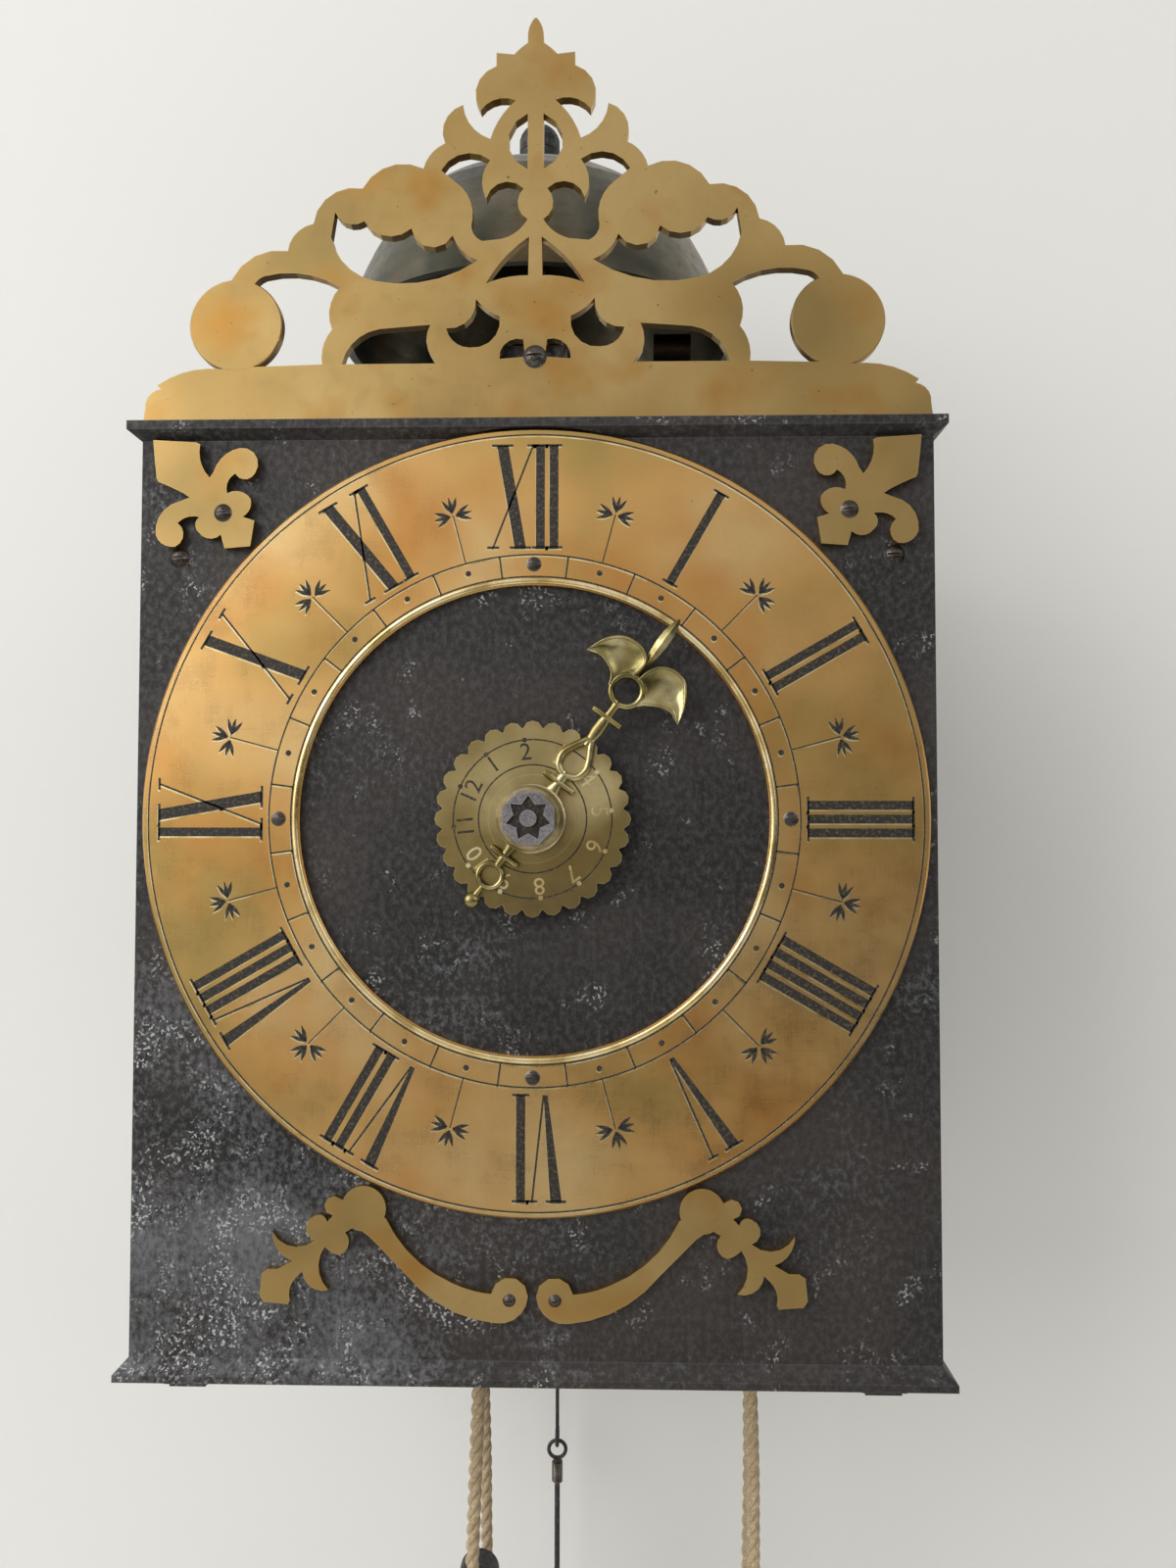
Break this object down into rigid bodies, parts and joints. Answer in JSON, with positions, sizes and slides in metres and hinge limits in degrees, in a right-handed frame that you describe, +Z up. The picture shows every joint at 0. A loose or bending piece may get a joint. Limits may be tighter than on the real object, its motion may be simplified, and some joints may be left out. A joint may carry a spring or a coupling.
{
  "type": "lantern clock",
  "caption": "Wall lantern clock with an iron case, brass hour dial and pierced fret, a bell, rope-driven going and striking trains, a hand, an alarm disc and a pendulum.",
  "frame": {"origin": "centre of the hanging plate's hole, on the wall's plane", "axes": "+X to the right as the dial is read, +Y into the wall, +Z up"},
  "size_m": [0.2166, 0.1974, 0.637],
  "materials": {
    "black_iron": "hammered and blackened, worn pale on edges",
    "polished_iron": "filed bright, dulled",
    "steel": "turned and filed, faintly rusted",
    "dial_brass": "planished sheet, satin, engraved",
    "cast_brass": "cast, filed and toned",
    "wheel_brass": "turned, satin",
    "bell_metal": "cast and turned, dark patina",
    "hemp_rope": "laid hemp",
    "lead": "cast lead, dull grey oxide"
  },
  "bodies": {
    "case": {"top_plate": "black_iron", "bottom_plate": "black_iron", "corner_pillars": "black_iron", "feet": "black_iron", "front_plate": "black_iron", "back_plate": "black_iron", "hanging_plate": "polished_iron", "wall_spurs": "polished_iron", "chapter_ring": "dial_brass", "fret": "cast_brass", "fret_bracket": "black_iron", "upper_corner_ornaments": "cast_brass", "lower_scroll_ornaments": "cast_brass", "dial_screws": "steel", "frame_screws": "steel", "bell": "bell_metal", "bell_stand": "black_iron", "bell_nut": "black_iron", "front_bar": "black_iron", "middle_bar": "black_iron", "rear_bar": "black_iron", "bar_wedges": "polished_iron", "back_cock": "black_iron", "hammer_spring": "steel", "rope_over_going_pulley": "hemp_rope", "rope_over_strike_pulley": "hemp_rope", "rope_left_loop": "hemp_rope", "rope_right_loop": "hemp_rope", "weight_strap": "black_iron", "driving_weight": "lead", "counterweight_ring": "lead"},
    "left_door": {"left_door": "black_iron", "left_door_knob": "wheel_brass"},
    "right_door": {"right_door": "black_iron", "right_door_knob": "wheel_brass"},
    "going_great_wheel": {"going_great_wheel": "wheel_brass", "going_pulley": "wheel_brass"},
    "second_wheel": {"second_wheel": "wheel_brass"},
    "escape_wheel": {"escape_wheel": "wheel_brass"},
    "hour_hand": {"hour_wheel": "wheel_brass", "hour_hand": "cast_brass", "hand_collet": "wheel_brass", "hand_nut": "steel"},
    "alarm_disc": {"alarm_disc": "dial_brass"},
    "pallets": {"pallet_arbor": "steel"},
    "pendulum": {"pendulum_wire": "black_iron"},
    "lower_pendulum": {"pendulum_rod": "black_iron", "pendulum_bob": "wheel_brass"},
    "rating_nut": {"rating_nut": "wheel_brass"},
    "strike_great_wheel": {"strike_great_wheel": "wheel_brass", "lifting_pins": "steel", "strike_pulley": "wheel_brass"},
    "hoop_wheel": {"hoop_wheel": "wheel_brass", "locking_hoop": "wheel_brass"},
    "warning_wheel": {"warning_wheel": "wheel_brass"},
    "fly": {"fly": "wheel_brass"},
    "count_wheel": {"count_wheel": "wheel_brass"},
    "hammer": {"hammer": "steel"},
    "detent_lever": {"detent_lever": "steel"},
    "weight_pulley": {"weight_pulley": "wheel_brass"}
  },
  "joints": [
    {"name": "left_door_swing", "type": "hinge", "parent": "case", "child": "left_door", "pos_m": [-0.0975, -0.0335, -0.1205], "axis": [0, 0, -1], "range_deg": [0, 95]},
    {"name": "right_door_swing", "type": "hinge", "parent": "case", "child": "right_door", "pos_m": [0.0975, -0.0335, -0.1205], "axis": [0, 0, 1], "range_deg": [0, 95]},
    {"name": "going_great_wheel_turn", "type": "hinge", "parent": "case", "child": "going_great_wheel", "pos_m": [0.02, -0.133, -0.1655], "axis": [0, 1, 0], "continuous": true},
    {"name": "second_wheel_turn", "type": "hinge", "parent": "case", "child": "second_wheel", "pos_m": [0.008, -0.133, -0.1175], "axis": [0, 1, 0], "continuous": true},
    {"name": "escape_wheel_turn", "type": "hinge", "parent": "case", "child": "escape_wheel", "pos_m": [-0.002, -0.133, -0.0867], "axis": [0, 1, 0], "continuous": true},
    {"name": "hour_hand_turn", "type": "hinge", "parent": "case", "child": "hour_hand", "pos_m": [0, -0.173, -0.1205], "axis": [0, 1, 0], "continuous": true},
    {"name": "alarm_disc_turn", "type": "hinge", "parent": "hour_hand", "child": "alarm_disc", "pos_m": [0, -0.182, -0.1205], "axis": [0, 1, 0], "continuous": true},
    {"name": "pendulum_swing", "type": "hinge", "parent": "case", "child": "pendulum", "pos_m": [-0.002, -0.017, -0.0565], "axis": [0, 1, 0], "range_deg": [-3, 3]},
    {"name": "pallets_rock", "type": "hinge", "parent": "case", "child": "pallets", "pos_m": [-0.002, -0.113, -0.0565], "axis": [0, 1, 0], "range_deg": [-3, 3]},
    {"name": "lower_pendulum_link", "type": "hinge", "parent": "pendulum", "child": "lower_pendulum", "pos_m": [-0.002, -0.017, -0.3574], "axis": [0, 1, 0], "range_deg": [-5, 5]},
    {"name": "rating_nut_turn", "type": "hinge", "parent": "lower_pendulum", "child": "rating_nut", "pos_m": [-0.002, -0.017, -0.5235], "axis": [0, 0, 1], "continuous": true},
    {"name": "strike_great_wheel_turn", "type": "hinge", "parent": "case", "child": "strike_great_wheel", "pos_m": [0.02, -0.068, -0.1655], "axis": [0, 1, 0], "continuous": true},
    {"name": "hoop_wheel_turn", "type": "hinge", "parent": "case", "child": "hoop_wheel", "pos_m": [-0.006, -0.093, -0.1158], "axis": [0, 1, 0], "continuous": true},
    {"name": "warning_wheel_turn", "type": "hinge", "parent": "case", "child": "warning_wheel", "pos_m": [0.018, -0.058, -0.0902], "axis": [0, 1, 0], "continuous": true},
    {"name": "fly_turn", "type": "hinge", "parent": "case", "child": "fly", "pos_m": [-0.002, -0.078, -0.0747], "axis": [0, 1, 0], "continuous": true},
    {"name": "count_wheel_turn", "type": "hinge", "parent": "case", "child": "count_wheel", "pos_m": [-0.03, -0.042, -0.1655], "axis": [0, 1, 0], "continuous": true},
    {"name": "hammer_lift", "type": "hinge", "parent": "case", "child": "hammer", "pos_m": [0.073, -0.09, -0.1815], "axis": [0, 1, 0], "range_deg": [-6, 0]},
    {"name": "detent_lift", "type": "hinge", "parent": "case", "child": "detent_lever", "pos_m": [-0.044, -0.078, -0.0805], "axis": [0, 1, 0], "range_deg": [-8, 0]},
    {"name": "weight_pulley_turn", "type": "hinge", "parent": "case", "child": "weight_pulley", "pos_m": [-0.022, -0.1005, -0.3825], "axis": [1, 0, 0], "continuous": true}
  ],
  "couplings": [
    {"joint": "going_great_wheel_turn", "follows": "escape_wheel_turn", "ratio": 0.0125},
    {"joint": "second_wheel_turn", "follows": "escape_wheel_turn", "ratio": -0.125},
    {"joint": "hour_hand_turn", "follows": "escape_wheel_turn", "ratio": -0.0010417},
    {"joint": "pallets_rock", "follows": "pendulum_swing", "ratio": 1},
    {"joint": "warning_wheel_turn", "follows": "fly_turn", "ratio": -0.15},
    {"joint": "hoop_wheel_turn", "follows": "fly_turn", "ratio": 0.01875},
    {"joint": "strike_great_wheel_turn", "follows": "fly_turn", "ratio": -0.001875},
    {"joint": "count_wheel_turn", "follows": "fly_turn", "ratio": 0.00019231}
  ]
}
